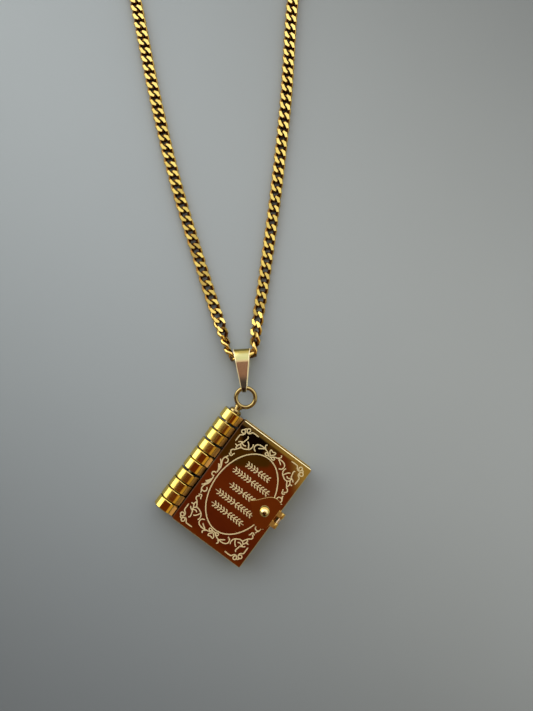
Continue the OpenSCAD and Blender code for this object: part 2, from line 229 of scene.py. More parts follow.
class EngravingSettings(bpy.types.PropertyGroup):
    line: bpy.props.FloatProperty(
        name="Line", description="Width of an engraved line", default=0.235 * MM, unit="LENGTH")
    proud: bpy.props.FloatProperty(
        name="Height", description="How far the lines stand out of the cover",
        default=0.012 * MM, unit="LENGTH")
    colour: bpy.props.FloatVectorProperty(
        name="Colour", description="Colour of the matt engraved lines", subtype="COLOR",
        default=(0.80, 0.66, 0.30), min=0, max=1)


class FinishSettings(bpy.types.PropertyGroup):
    chain: bpy.props.FloatVectorProperty(
        name="Chain", description="Gold of the chain", subtype="COLOR",
        default=(0.94, 0.69, 0.17), min=0, max=1)
    flank: bpy.props.FloatVectorProperty(
        name="Chain sides", description="Deeper gold of the links' outer sides", subtype="COLOR",
        default=(0.88, 0.59, 0.14), min=0, max=1)
    # The chain wire colour is painted shade: dark gold inside the links where their shadow falls
    wire: bpy.props.FloatVectorProperty(
        name="Chain wire", description="Dark tarnished gold inside the links", subtype="COLOR",
        default=(0.21, 0.09, 0.015), min=0, max=1)
    # The rims' pale gold is a painted highlight along their upper band
    painted_rim_highlight: bpy.props.FloatVectorProperty(
        name="Edges", description="Paler gold of the covers' rims", subtype="COLOR",
        default=(0.92, 0.79, 0.34), min=0, max=1)
    # The ring's deeper gold is darkened as painted shade, for the dim light on the ring
    ring: bpy.props.FloatVectorProperty(
        name="Ring", description="Deeper gold of the ring and the spine's cap", subtype="COLOR",
        default=(0.45, 0.33, 0.11), min=0, max=1)
    bail: bpy.props.FloatVectorProperty(
        name="Bail", description="Rosy gold of the bail's face", subtype="COLOR",
        default=(0.82, 0.50, 0.28), min=0, max=1)
    knob: bpy.props.FloatVectorProperty(
        name="Knob", description="Yellow gold of the ball", subtype="COLOR",
        default=(0.90, 0.73, 0.30), min=0, max=1)
    flap: bpy.props.FloatVectorProperty(
        name="Flap", description="Pale gold of the clasp's flap", subtype="COLOR",
        default=(1.0, 0.78, 0.45), min=0, max=1)
    lock: bpy.props.FloatVectorProperty(
        name="Lock", description="Yellow gold of the mirror-polished lock plate", subtype="COLOR",
        default=(0.94, 0.76, 0.30), min=0, max=1)
    spine: bpy.props.FloatVectorProperty(
        name="Spine", description="Gold of spine and leaves", subtype="COLOR",
        default=(0.9, 0.66, 0.13), min=0, max=1)
    cover: bpy.props.FloatVectorProperty(
        name="Cover", description="Gold of the mirror-polished covers", subtype="COLOR",
        default=(0.86, 0.60, 0.27), min=0, max=1)


class StageSettings(bpy.types.PropertyGroup):
    camera_height: bpy.props.FloatProperty(
        name="Camera height", description="Height of the camera above the floor",
        default=160 * MM, unit="LENGTH")
    lens: bpy.props.FloatProperty(
        name="Lens", description="Focal length of the camera", default=37.74, unit="CAMERA")
    floor_cool: bpy.props.FloatVectorProperty(
        name="Floor, left", description="Cooler grey of the floor on the left", subtype="COLOR",
        default=(0.42, 0.474, 0.43), min=0, max=1)
    floor_warm: bpy.props.FloatVectorProperty(
        name="Floor, right", description="Warmer grey of the floor on the right", subtype="COLOR",
        default=(0.388, 0.426, 0.367), min=0, max=1)
    light: bpy.props.FloatProperty(
        name="Light", description="Strength of the surrounding light", default=1.0)
    window: bpy.props.FloatProperty(
        name="Window", description="Power of the soft light at the upper left, in watts", default=0.95)


class NodeTree:
    """Short calls for building a node tree."""

    def __init__(self, tree):
        self.tree = tree
        tree.nodes.clear()

    def node(self, kind, **settings):
        made = self.tree.nodes.new(kind)
        for name, value in settings.items():
            setattr(made, name, value)
        return made

    def link(self, source, target):
        self.tree.links.new(source, target)

    def feed(self, socket, value):
        """Links a socket to another, or sets it to a plain value."""
        if isinstance(value, bpy.types.NodeSocket):
            self.link(value, socket)
        else:
            socket.default_value = value

    def place(self):
        """Where a point lies in the object's own coordinates, which are the frame's."""
        return self.node("ShaderNodeTexCoord").outputs["Object"]

    def math(self, operation, a, b=0.0):
        made = self.node("ShaderNodeMath", operation=operation)
        self.feed(made.inputs[0], a)
        self.feed(made.inputs[1], b)
        return made.outputs[0]

    def scaled(self, value, low, high):
        """low where the value is 0, high where it is 1, straight in between."""
        made = self.node("ShaderNodeMath", operation="MULTIPLY_ADD")
        self.feed(made.inputs[0], value)
        made.inputs[1].default_value = high - low
        made.inputs[2].default_value = low
        return made.outputs[0]

    def dot(self, vector, fixed):
        made = self.node("ShaderNodeVectorMath", operation="DOT_PRODUCT")
        self.feed(made.inputs[0], vector)
        made.inputs[1].default_value = fixed
        return made.outputs["Value"]

    def ramp(self, value, start, end):
        """0 up to the start, 1 from the end on, smooth in between; the start may be the greater one."""
        made = self.node("ShaderNodeMapRange", interpolation_type="SMOOTHSTEP")
        self.feed(made.inputs["Value"], value)
        made.inputs["From Min"].default_value = start
        made.inputs["From Max"].default_value = end
        return made.outputs["Result"]

    def both(self, a, b):
        return self.math("MULTIPLY", a, b)

    def mix(self, factor, a, b):
        made = self.node("ShaderNodeMix", data_type="RGBA")
        self.feed(made.inputs["Factor"], factor)
        for socket, value in ((made.inputs[6], a), (made.inputs[7], b)):
            self.feed(socket, value if isinstance(value, bpy.types.NodeSocket) else (*value, 1))
        return made.outputs[2]

    def noise(self, vector, scale, detail, roughness=0.5):
        made = self.node("ShaderNodeTexNoise")
        self.feed(made.inputs["Vector"], vector)
        made.inputs["Scale"].default_value = scale
        made.inputs["Detail"].default_value = detail
        made.inputs["Roughness"].default_value = roughness
        return made.outputs["Fac"]

    def streaks(self, place, turn, scale):
        """Noise drawn out into lines at an angle about the upright axis."""
        stretch = self.node("ShaderNodeMapping")
        self.link(place, stretch.inputs["Vector"])
        stretch.inputs["Rotation"].default_value = (0, 0, turn)
        stretch.inputs["Scale"].default_value = scale
        return self.noise(stretch.outputs[0], 1.0, 2.0)

    def bump(self, height, shader, distance=1.0, strength=1.0):
        made = self.node("ShaderNodeBump")
        made.inputs["Strength"].default_value = strength
        made.inputs["Distance"].default_value = distance
        self.link(height, made.inputs["Height"])
        self.link(made.outputs[0], shader.inputs["Normal"])


# Colours laid over the panel's golds: painted shade in gaps, a dull gold that is painted bounce light, the
# bail's roll, its painted shade and painted rim highlight, and the ball's painted crown reflection
PAINTED_GAP_SHADE = (0.07, 0.035, 0.015)
PAINTED_BOUNCE_GOLD = (0.55, 0.27, 0.05)
BAIL_PAINTED_SHADE = (0.18, 0.16, 0.12)
BAIL_ROLL_BACK = (0.36, 0.28, 0.06)
BAIL_ROLL_FRONT = (0.5, 0.47, 0.17)
BAIL_PAINTED_RIM = (1.0, 0.88, 0.48)
KNOB_PAINTED_REFLECTION = (0.2, 0.1, 0.03)

# How rough the metals are, from their smoothest to their roughest spots
POLISHED = (0.12, 0.22)
BRUSHED = (0.13, 0.22)
SATIN = (0.35, 0.45)
MIRROR = (0.01, 0.022)
SATIN_BAIL = (0.24, 0.59)

# Noise patterns: scale, detail and, where it isn't 0.5, roughness
STAINS = (260.0, 4.0, 0.6)
SMUDGES = (300.0, 4.0, 0.6)
GRAIN = (2800.0, 2.0)
KNOB_STAINS = (1800.0, 3.0)
SPECKLE = (9000.0, 2.0)
FLOOR_MOTTLE = (60.0, 5.0, 0.6)

# Brushed lines: the scale of their noise on three axes, turned with the spine or the bail
SPINE_BRUSH = (900, 9000, 9000)
BAIL_BRUSH = (9000, 500, 9000)

# How strongly the bail's brushed lines and the floor's mottle show, and how much rougher the far rims are
BRUSH_SHARE = 0.4
MOTTLE_SHARE = 0.03
RIM_ROUGHNESS = 0.3

# How deep the spine's scratches and the bail's brushed lines look, and how far its fold looks rounded
SPINE_SCRATCH = 0.02 * MM
BAIL_SCRATCH = 0.004 * MM
BAIL_CROWN = 0.28 * MM

# Where the book's finishes, its painted gap shade and its painted bounce light begin or end, as distances
# from the spine's axis
CHAMFER_FADE = (2.22 * MM, 2.33 * MM)
OPEN_SIDE_FADE = (2.35 * MM, 2.2 * MM)
CREASE_START = (1.35 * MM, 1.7 * MM)
CREASE_END = (2.4 * MM, 2.25 * MM)
GAP_START = (2.25 * MM, 2.35 * MM)
GAP_END = (2.75 * MM, 2.65 * MM)
LEAF_START = (COVER_NEAR, COVER_NEAR + 0.15 * MM)
PLATE_START = (COVER_NEAR - 0.2 * MM, COVER_NEAR + 0.1 * MM)
NEAR_WALL_END = (COVER_NEAR + 0.13 * MM, COVER_NEAR + 0.2 * MM)
EDGE_BLUR = 0.1 * MM

# Where the covers' rims turn to a painted highlight, by height, over painted shade below, and where their
# polish begins, by how upright a normal is
PAINTED_RIM_BAND = (COVER_TOP - 0.9 * MM, COVER_TOP - 0.75 * MM)
LEVEL_FACE = (0.93, 0.985)

# Where the bail's finishes and its painted shade begin, as distances down from the top of the fold
ROLL_START = (-1.05 * MM, -0.45 * MM)
CROWN_START = (-0.6 * MM, 1.1 * MM)
FACE_START = (0.25 * MM, 1.35 * MM)
SHADE_START = (3.4 * MM, 5.4 * MM)

# The bail's rougher rim with its painted highlight, as distances in from its edge
RIM_START = (0.26 * MM, 0.14 * MM)

# How upright the ball's normals are where the painted shade round its foot ends and where the painted
# reflection on its crown begins
FOOT_END = (-0.1, 0.3)
CROWN_RISE = (0.88, 0.97)


def darker(colour, share):
    return tuple(channel * share for channel in colour)


def new_material(name, metallic=1.0):
    """A material with one shader, and the calls that build its node tree."""
    material = bpy.data.materials.new(name)
    material.use_nodes = True
    t = NodeTree(material.node_tree)
    shader = t.node("ShaderNodeBsdfPrincipled")
    shader.inputs["Metallic"].default_value = metallic
    out = t.node("ShaderNodeOutputMaterial")
    t.link(shader.outputs[0], out.inputs[0])
    return material, t, shader


def spine_reach(t, place):
    """Distance across the book from the spine's axis."""
    return t.math("SUBTRACT", t.dot(place, ACROSS), ACROSS.dot(SPINE))


def knuckle_surface(t, place):
    """0 between the knuckles, on their chamfers and beside the covers, where painted shade goes, 1 on their
    round outside.
    """
    reach = spine_reach(t, place)
    rise = t.math("SUBTRACT", t.dot(place, UP), SPINE.z)
    radius = t.math("SQRT", t.math("ADD", t.both(reach, reach), t.both(rise, rise)))
    open_side = t.math("MAXIMUM", t.ramp(reach, *OPEN_SIDE_FADE), t.ramp(reach, *LEAF_START))
    return t.both(t.ramp(radius, *CHAMFER_FADE), open_side)


def painted_bounce_side(t, place):
    """1 on the side of the knuckles that faces the covers, where a dull gold is painted light standing in
    for light bounced off the covers, 0 elsewhere.
    """
    reach = spine_reach(t, place)
    return t.both(t.ramp(reach, *CREASE_START), t.ramp(reach, *CREASE_END))


def gold_finish(name, colour, roughness, spine=False, cut=None):
    """Stained and grained gold plate; on the spine with painted gap shade, a dull gold as painted bounce
    light, and scratches; on links with cut sides and painted shade inside.
    """
    material, t, shader = new_material(name)
    place = t.place()
    stains = t.ramp(t.noise(place, *STAINS), start=0.35, end=0.7)
    colour_out = t.mix(stains, darker(colour, share=0.82), colour)
    if spine:
        # A dull non-metal gold as painted bounce light on the knuckles' side toward the covers, and painted
        # shade in their gaps
        painted_bounce = painted_bounce_side(t, place)
        colour_out = t.mix(painted_bounce, colour_out, PAINTED_BOUNCE_GOLD)
        colour_out = t.mix(knuckle_surface(t, place), PAINTED_GAP_SHADE, colour_out)
        t.link(t.math("SUBTRACT", 1.0, painted_bounce), shader.inputs["Metallic"])
        lines = t.streaks(place, -math.atan2(ALONG.y, ALONG.x), SPINE_BRUSH)
        t.bump(lines, shader, distance=SPINE_SCRATCH, strength=0.25)
    if cut:
        flank, flat = cut
        mark = t.node("ShaderNodeAttribute", attribute_name="cut").outputs["Fac"]
        colour_out = t.mix(t.ramp(mark, *FLANK_RAMP), colour_out, flank)
        colour_out = t.mix(t.ramp(mark, *FLAT_RAMP), colour_out, flat)
    t.link(colour_out, shader.inputs["Base Color"])
    t.link(t.scaled(t.noise(place, *GRAIN), *roughness), shader.inputs["Roughness"])
    return material


def cover_finish(name, face, edge, rim, far=COVER_FAR):
    """Mirror polish on the flat outer faces; deeper gold on the knuckles with painted bounce light and
    painted shade in the gaps; a painted highlight on the rims' upper band over painted shade.
    """
    material, t, shader = new_material(name)
    coords = t.node("ShaderNodeTexCoord")
    place = coords.outputs["Object"]
    upright = t.math("ABSOLUTE", t.dot(coords.outputs["Normal"], UP))
    reach = spine_reach(t, place)
    on_plate = t.ramp(reach, *PLATE_START)
    past_edge = t.ramp(reach, far - EDGE_BLUR, far + EDGE_BLUR)
    outer = t.both(t.ramp(upright, *LEVEL_FACE), t.math("SUBTRACT", on_plate, past_edge))
    smudge = t.ramp(t.noise(place, *SMUDGES), start=0.3, end=0.75)
    clean = t.mix(smudge, darker(face, share=0.86), face)
    # Painted highlight on the rims' upper band, painted shade on the walls below it, and painted gap shade
    # on the wall beside the spine
    painted_rims = t.mix(t.ramp(t.dot(place, UP), *PAINTED_RIM_BAND), darker(edge, share=0.3), rim)
    painted_rims = t.mix(t.ramp(reach, *NEAR_WALL_END), PAINTED_GAP_SHADE, painted_rims)
    # Painted bounce light on the knuckles' side toward the covers, and painted shade on their chamfers and
    # between them
    painted_bounce = painted_bounce_side(t, place)
    knuckles = t.mix(knuckle_surface(t, place), PAINTED_GAP_SHADE, t.mix(painted_bounce, edge, PAINTED_BOUNCE_GOLD))
    t.link(t.math("SUBTRACT", 1.0, painted_bounce), shader.inputs["Metallic"])
    # Painted shade in the gap between the knuckles and the covers
    gap = t.both(t.ramp(reach, *GAP_START), t.ramp(reach, *GAP_END))
    knuckles = t.mix(gap, knuckles, PAINTED_GAP_SHADE)
    sides = t.mix(on_plate, knuckles, t.mix(past_edge, painted_rims, edge))
    t.link(t.mix(outer, sides, clean), shader.inputs["Base Color"])
    satin = t.both(past_edge, RIM_ROUGHNESS)
    t.link(t.math("ADD", t.scaled(smudge, *MIRROR), satin), shader.inputs["Roughness"])
    return material


def bail_finish(name, face):
    """Satin gold: a bright roll over the fold, a rosy face with painted shade towards its lower end, and
    edges with a painted highlight.
    """
    material, t, shader = new_material(name)
    place = t.place()
    down = Vector((math.sin(BAIL_TURN), -math.cos(BAIL_TURN), 0))
    aside = UP.cross(down)
    drop = t.math("SUBTRACT", t.dot(place, down), down.dot(BAIL_TOP))
    offset = t.math("SUBTRACT", t.dot(place, aside), aside.dot(BAIL_TOP))
    half = t.math("SUBTRACT", BAIL_HALF, t.both(drop, BAIL_TAPER))
    # The rim mask carries the edges' painted highlight and their rougher satin
    rim = t.ramp(t.math("SUBTRACT", half, t.math("ABSOLUTE", offset)), *RIM_START)
    brushed = t.streaks(place, -BAIL_TURN, BAIL_BRUSH)

    rosy = t.mix(t.both(brushed, BRUSH_SHARE), face, darker(face, share=0.6))
    # Painted shade towards the bail's lower end
    painted_lower_shade = t.mix(t.ramp(drop, *SHADE_START), rosy, BAIL_PAINTED_SHADE)
    roll = t.mix(t.ramp(drop, *ROLL_START), BAIL_ROLL_BACK, BAIL_ROLL_FRONT)
    colour = t.mix(t.ramp(drop, *FACE_START), roll, painted_lower_shade)
    t.link(t.mix(rim, colour, BAIL_PAINTED_RIM), shader.inputs["Base Color"])
    t.link(t.scaled(rim, *SATIN_BAIL), shader.inputs["Roughness"])

    crown = t.both(t.ramp(drop, *CROWN_START), BAIL_CROWN)
    t.bump(t.math("ADD", crown, t.both(brushed, BAIL_SCRATCH)), shader)
    return material


def knob_finish(name, colour):
    """Polished ball, with painted shade round its foot and a brown painted reflection on its crown."""
    material, t, shader = new_material(name)
    coords = t.node("ShaderNodeTexCoord")
    upright = t.dot(coords.outputs["Normal"], UP)
    stains = t.noise(coords.outputs["Object"], *KNOB_STAINS)
    clean = t.mix(stains, darker(colour, share=0.85), colour)
    # A brown painted reflection on the crown, and painted shade round the foot
    clean = t.mix(t.ramp(upright, *CROWN_RISE), clean, KNOB_PAINTED_REFLECTION)
    painted_foot_shade = darker(colour, share=0.12)
    t.link(t.mix(t.ramp(upright, *FOOT_END), painted_foot_shade, clean), shader.inputs["Base Color"])
    shader.inputs["Roughness"].default_value = 0.12
    return material


def engraved_finish(name, colour):
    """Matt laser lines with a fine speckle."""
    material, t, shader = new_material(name, metallic=0.25)
    speckle = t.noise(t.place(), *SPECKLE)
    t.link(t.mix(speckle, darker(colour, share=0.8), colour), shader.inputs["Base Color"])
    shader.inputs["Roughness"].default_value = 0.55
    return material


def finish(name, build, *args, **kwargs):
    """A material by name, built once."""
    return bpy.data.materials.get(name) or build(name, *args, **kwargs)


def gold(name):
    """One of the golds set in the panel."""
    return tuple(getattr(bpy.context.scene.locket_finish, name))


def chain_gold():
    return finish("polished_chain", gold_finish, gold("wire"), POLISHED, cut=(gold("flank"), gold("chain")))


def barrel_gold():
    return finish("polished_barrel", gold_finish, gold("chain"), POLISHED)


# The ring and the spine's cap share a gold darkened as painted shade
def ring_gold_painted_shade():
    return finish("polished_ring", gold_finish, gold("ring"), POLISHED)


def bail_gold():
    return finish("satin_bail", bail_finish, gold("bail"))


def knob_gold():
    return finish("polished_knob", knob_finish, gold("knob"))


def flap_gold():
    return finish("polished_flap", gold_finish, gold("flap"), SATIN)


def spine_gold():
    return finish("brushed_spine", gold_finish, gold("spine"), BRUSHED, spine=True)


def cover_gold():
    return finish("mirror_cover", cover_finish, gold("cover"), gold("spine"), gold("painted_rim_highlight"))


def lock_gold():
    # The lock plate's rims take a dimmer painted highlight
    rim = darker(gold("painted_rim_highlight"), share=0.45)
    return finish("mirror_lock", cover_finish, gold("lock"), gold("flank"), rim, far=LOCK_FAR)


def matt_lines():
    colour = tuple(bpy.context.scene.locket_engraving.colour)
    return finish("engraved_lines", engraved_finish, colour)


def floor_grey():
    settings = bpy.context.scene.locket_stage
    return finish("floor", floor_finish, tuple(settings.floor_cool), tuple(settings.floor_warm))


def dress(node, material):
    """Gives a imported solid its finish."""
    slots = frame["nodes"][node].material_slots
    for slot in slots:
        slot.material = material
    if not slots:
        frame["nodes"][node].data.materials.append(material)


def axes_matrix(x, y, z, origin):
    """The frame with these axes at an origin."""
    return Matrix.Translation(origin) @ Matrix((x, y, z)).transposed().to_4x4()


def only(kind, geometry):
    """The vertices or the edges in what an operator returns."""
    return [element for element in geometry if isinstance(element, kind)]


def new_piece(name, bm, material, body, sharp=35.0, flat_area=None):
    """A piece of a bmesh, smooth but for sharp edges and, with a flat_area, level and larger faces."""
    for face in bm.faces:
        level = abs(face.normal.z) > LEVEL_NORMAL
        face.smooth = flat_area is None or not (level or face.calc_area() > flat_area)
    for edge in bm.edges:
        if edge.is_manifold and edge.calc_face_angle() > math.radians(sharp):
            edge.smooth = False
    mesh = bpy.data.meshes.new(name)
    bm.to_mesh(mesh)
    bm.free()
    mesh.materials.clear()
    mesh.materials.append(material)
    piece = bpy.data.objects.new(name, mesh)
    bpy.context.scene.collection.objects.link(piece)
    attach(piece, body)
    return piece


def softened(node, name, material, body, width, flat_area):
    """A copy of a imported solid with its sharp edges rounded, shown in its place."""
    bm = bmesh.new()
    bm.from_mesh(frame["nodes"][node].data)
    bmesh.ops.remove_doubles(bm, verts=bm.verts, dist=WELD)
    bmesh.ops.dissolve_limit(bm, angle_limit=SAME_PLANE, verts=bm.verts, edges=bm.edges)
    sharp = [e for e in bm.edges if e.is_manifold and e.calc_face_angle() > ROUNDED_EDGE]
    bmesh.ops.bevel(bm, geom=sharp, offset=width, offset_type="OFFSET", affect="EDGES",
                    segments=2, profile=0.5, material=-1, clamp_overlap=True)
    bmesh.ops.recalc_face_normals(bm, faces=bm.faces)
    piece = new_piece(name, bm, material, body, flat_area=flat_area)
    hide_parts(node)
    return piece


def smooth_point(rows, place):
    """A point on the Catmull-Rom curve through the rows, at a place counted in rows."""
    index = min(int(place), len(rows) - 2)
    t = place - index
    a, b, c, d = (rows[max(0, min(len(rows) - 1, index + k))] for k in (-1, 0, 1, 2))
    return tuple(
        0.5 * (2 * q + (r - p) * t + (2 * p - 5 * q + 4 * r - s) * t * t + (3 * q - p - 3 * r + s) * t ** 3)
        for p, q, r, s in zip(a, b, c, d))


def chain_stations():
    """Points close together along the chain's route, each with its distance from the start and its roll."""
    stations = []
    travelled = 0.0
    for k in range((len(CHAIN_ROUTE) - 1) * ROUTE_STEPS + 1):
        x, y, z, roll = smooth_point(CHAIN_ROUTE, k / ROUTE_STEPS)
        point = Vector((x, y, z)) * MM + LAY_SHIFT
        if stations:
            travelled += (point - stations[-1][0]).length
        stations.append((point, travelled, roll))
    return stations


def place_on_route(stations, distance):
    """The frame at a distance along the route: x along the chain, y across it, z out of its flat side."""
    k = next(i for i, station in enumerate(stations) if station[1] >= distance)
    (before, before_at, before_roll), (after, after_at, after_roll) = stations[k - 1], stations[k]
    share = (distance - before_at) / (after_at - before_at)
    point = before.lerp(after, share)
    along = (stations[k + 1][0] - stations[k - 2][0]).normalized()
    roll = math.radians(before_roll + (after_roll - before_roll) * share)
    side = Vector((along.y, -along.x, 0)).normalized()
    up = side.cross(along)
    turned_side = side * math.cos(roll) + up * math.sin(roll)
    turned_up = up * math.cos(roll) - side * math.sin(roll)
    return axes_matrix(along, turned_side, turned_up, point)


def sweep_closed(bm, wire, frames):
    """Sweeps a wire round a closed loop of frames, whose x axis runs along the wire."""
    section = frames[0] @ Matrix.Rotation(math.pi / 2, 4, "Y")
    ring = bmesh.ops.create_circle(bm, segments=WIRE_SIDES, radius=wire / 2, matrix=section)
    verts = ring["verts"]
    first = [e for e in bm.edges if e.verts[0] in verts and e.verts[1] in verts]
    edges = first
    for before, after in zip(frames, frames[1:]):
        grown = bmesh.ops.extrude_edge_only(bm, edges=edges)["geom"]
        verts = only(BMVert, grown)
        edges = [e for e in only(BMEdge, grown) if e.verts[0] in verts and e.verts[1] in verts]
        bmesh.ops.transform(bm, matrix=after @ before.inverted(), verts=verts)
    bmesh.ops.bridge_loops(bm, edges=edges + first)


def loop_frames(points, flat_up=UP):
    """Frames along a closed loop of points, x along it."""
    frames = []
    count = len(points)
    for k, point in enumerate(points):
        along = (points[(k + 1) % count] - points[k - 1]).normalized()
        side = flat_up.cross(along).normalized()
        frames.append(axes_matrix(along, side, along.cross(side), point))
    return frames


def link_places(settings, start, end, fold):
    """Distances of the links along the route, further apart on both sides of the fold in the bail."""
    places = [start]
    while places[-1] < end:
        near = 1 - (abs(places[-1] - fold) - DRAWN_FULLY) / settings.reach
        places.append(places[-1] + settings.pitch + settings.drawn * min(1, max(0, near)))
    stretch = (end - start) / (places[-1] - start)
    return [start + (place - start) * stretch for place in places]


def link_mesh(settings):
    """One twisted curb link round the origin, its length along x, with polished flats above and below."""
    half_long = (settings.length - settings.wire) / 2
    half_wide = (settings.width - settings.wire) / 2
    points = []
    for k in range(LINK_SEGMENTS):
        turn = 2 * math.pi * (k + 0.5) / LINK_SEGMENTS
        rise = math.sin(2 * turn)
        points.append(Vector((
            half_long * math.cos(turn), half_wide * math.sin(turn),
            settings.twist * math.copysign(abs(rise) ** LINK_RISE_POWER, rise))))
    bm = bmesh.new()
    polished = bm.faces.layers.float.new("cut")
    sweep_closed(bm, settings.wire, loop_frames(points))
    for side in (1, -1):
        cut = bmesh.ops.bisect_plane(
            bm, geom=bm.verts[:] + bm.edges[:] + bm.faces[:], plane_co=(0, 0, side * settings.cut),
            plane_no=(0, 0, side), clear_outer=True)
        rim = only(BMEdge, cut["geom_cut"])
        for face in bmesh.ops.holes_fill(bm, edges=rim, sides=0)["faces"]:
            face[polished] = FLAT_MARK
        for edge in rim:
            edge.smooth = False
    outer_side = half_wide + FLANK_START * settings.wire
    for face in bm.faces:
        if abs(face.calc_center_median().y) > outer_side and face[polished] < FLAT_MARK:
            face[polished] = FLANK_MARK
    bmesh.ops.recalc_face_normals(bm, faces=bm.faces)
    mesh = bpy.data.meshes.new("link")
    bm.to_mesh(mesh)
    bm.free()
    return mesh


def end_ring_frames(centre):
    """Frames of an upright round ring beside the barrel."""
    turns = [2 * math.pi * k / END_RING_SEGMENTS for k in range(END_RING_SEGMENTS)]
    points = [centre + Vector((math.cos(a), 0, math.sin(a))) * END_RING_R for a in turns]
    return loop_frames(points, Vector((0, -1, 0)))


class LOCKET_OT_chain(bpy.types.Operator):
    """Link the curb chain along its route and close it at the barrel"""
    bl_idname = "locket.chain"
    bl_label = "Chain"

    def execute(self, context):
        settings = context.scene.locket_chain
        stations = chain_stations()
        end = stations[-1][1] - LEAD_IN
        fold = stations[FOLD_ROW * ROUTE_STEPS][1]
        link = link_mesh(settings)
        lean = random.Random(settings.seed)
        bm = bmesh.new()
        for place in link_places(settings, LEAD_IN, end, fold):
            placed = link.copy()
            roll = Matrix.Rotation(lean.uniform(-1, 1) * settings.sway, 4, "X")
            dip = Matrix.Rotation(lean.uniform(-1, 1) * settings.sway / 2, 4, "Y")
            placed.transform(place_on_route(stations, place) @ roll @ dip)
            sunk = min(vert.co.z for vert in placed.vertices)
            placed.transform(Matrix.Translation(UP * max(0, -sunk)))
            bm.from_mesh(placed)
            bpy.data.meshes.remove(placed)
        bpy.data.meshes.remove(link)
        # The end rings carry no cut mark, so they take the links' painted inner shade all over
        for side in (-1, 1):
            centre = BARREL_AT + Vector((side * END_RING_OUT, 0, -END_RING_DROP))
            sweep_closed(bm, END_RING_WIRE, end_ring_frames(centre))
        bmesh.ops.recalc_face_normals(bm, faces=bm.faces)
        links = new_piece("chain_links", bm, chain_gold(), "necklace", sharp=75)
        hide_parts("chain")
        dress("chain_clasp", barrel_gold())
        return {"FINISHED"}


class LOCKET_OT_hanger(bpy.types.Operator):
    """Finish the bail, and the ring and cap at the top of the spine"""
    bl_idname = "locket.hanger"
    bl_label = "Bail and ring"

    def execute(self, context):
        softened("bail", "bail_band", bail_gold(), "necklace",
                 width=0.12 * MM, flat_area=3 * MM * MM)
        dress("hinge_pin", ring_gold_painted_shade())
        return {"FINISHED"}


class LOCKET_OT_book(bpy.types.Operator):
    """Finish the covers and the inner leaves"""
    bl_idname = "locket.book"
    bl_label = "Covers and leaves"

    def execute(self, context):
        for node in ("back_cover", "front_cover"):
            dress(node, cover_gold())
        for node in ("page_1", "page_2", "page_3"):
            dress(node, spine_gold())
        return {"FINISHED"}


class LOCKET_OT_lock(bpy.types.Operator):
    """Finish the lock plate, the knob and the clasp"""
    bl_idname = "locket.lock"
    bl_label = "Lock"

    def execute(self, context):
        softened("lock_plate", "lock_face", lock_gold(), "front",
                 width=0.06 * MM, flat_area=1 * MM * MM)
        dress("ball_knob", knob_gold())
        dress("clasp_pin", spine_gold())
        dress("clasp_flap", flap_gold())
        return {"FINISHED"}


def ribbon(bm, path, width, height):
    """A thin flat strip along a path of points in the plane, narrowed at both ends."""
    count = len(path)
    edges = None
    for k, point in enumerate(path):
        heading = Vector(path[min(k + 1, count - 1)]) - Vector(path[max(k - 1, 0)])
        across = Vector((-heading.y, heading.x)).normalized()
        share = 0.5 if k in (0, count - 1) else 1.0
        left = Vector((*(Vector(point) + across * (width / 2 * share)), height))
        right = Vector((*(Vector(point) - across * (width / 2 * share)), height))
        if edges is None:
            verts = [bm.verts.new(left), bm.verts.new(right)]
            edges = [bm.edges.new(verts)]
        else:
            old_left = verts[0]
            grown = bmesh.ops.extrude_edge_only(bm, edges=edges)["geom"]
            new = only(BMVert, grown)
            tied = [v for v in new if any(e.other_vert(v) == old_left for e in v.link_edges)]
            verts = [tied[0], next(v for v in new if v != tied[0])]
            verts[0].co, verts[1].co = left, right
            edges = [e for e in verts[0].link_edges if e.other_vert(verts[0]) == verts[1]]


def smooth_path(points, steps=4):
    """A smooth line through points, or the straight one between two."""
    if len(points) == 2:
        return list(points)
    return [smooth_point(points, k / steps) for k in range((len(points) - 1) * steps + 1)]


def oval_path(centre, half, steps, opening=0):
    """An oval, open at the right by an angle in degrees to both sides."""
    turns = [math.radians(opening + (360 - 2 * opening) * k / steps) for k in range(steps + 1)]
    return [(centre[0] + half[0] * math.cos(a), centre[1] + half[1] * math.sin(a)) for a in turns]


def twig_paths(height, half):
    """A level twig with pairs of leaves that point away from its middle."""
    paths = [[(-half, height), (half, height)]]
    for side in (-1, 1):
        for k in range(int(half / LEAF_GAP)):
            root = FIRST_LEAF + k * LEAF_GAP
            for rise in (-1, 1):
                belly, tip = (
                    (side * (root + out), height + rise * up) for out, up in (LEAF_BELLY, LEAF_TIP))
                paths.append(smooth_path([(side * root, height), belly, tip]))
    return paths


def engraved_paths():
    """Every engraved line of the cover, in millimetres from its middle."""
    quarter = [smooth_path(p) for p in (*CORNER_STROKES, *BRANCH_STROKES, *VINE_STROKES, *CREST_STROKES)]
    quarter.append(oval_path(CREST_LOOP_AT, CREST_LOOP_HALF, LOOP_STEPS))
    side_ring = oval_path(SIDE_RING_AT, SIDE_RING_HALF, LOOP_STEPS, SIDE_RING_OPENING)
    paths = []
    for flip_x in (1, -1):
        for flip_y in (1, -1):
            paths += [[(x * flip_x, y * flip_y) for x, y in path] for path in quarter]
        paths.append([(x * flip_x, y) for x, y in side_ring])
    paths.append(oval_path((0, 0), OVAL_HALF, OVAL_STEPS))
    for height, half in TWIG_ROWS:
        paths += twig_paths(height, half)
    return paths


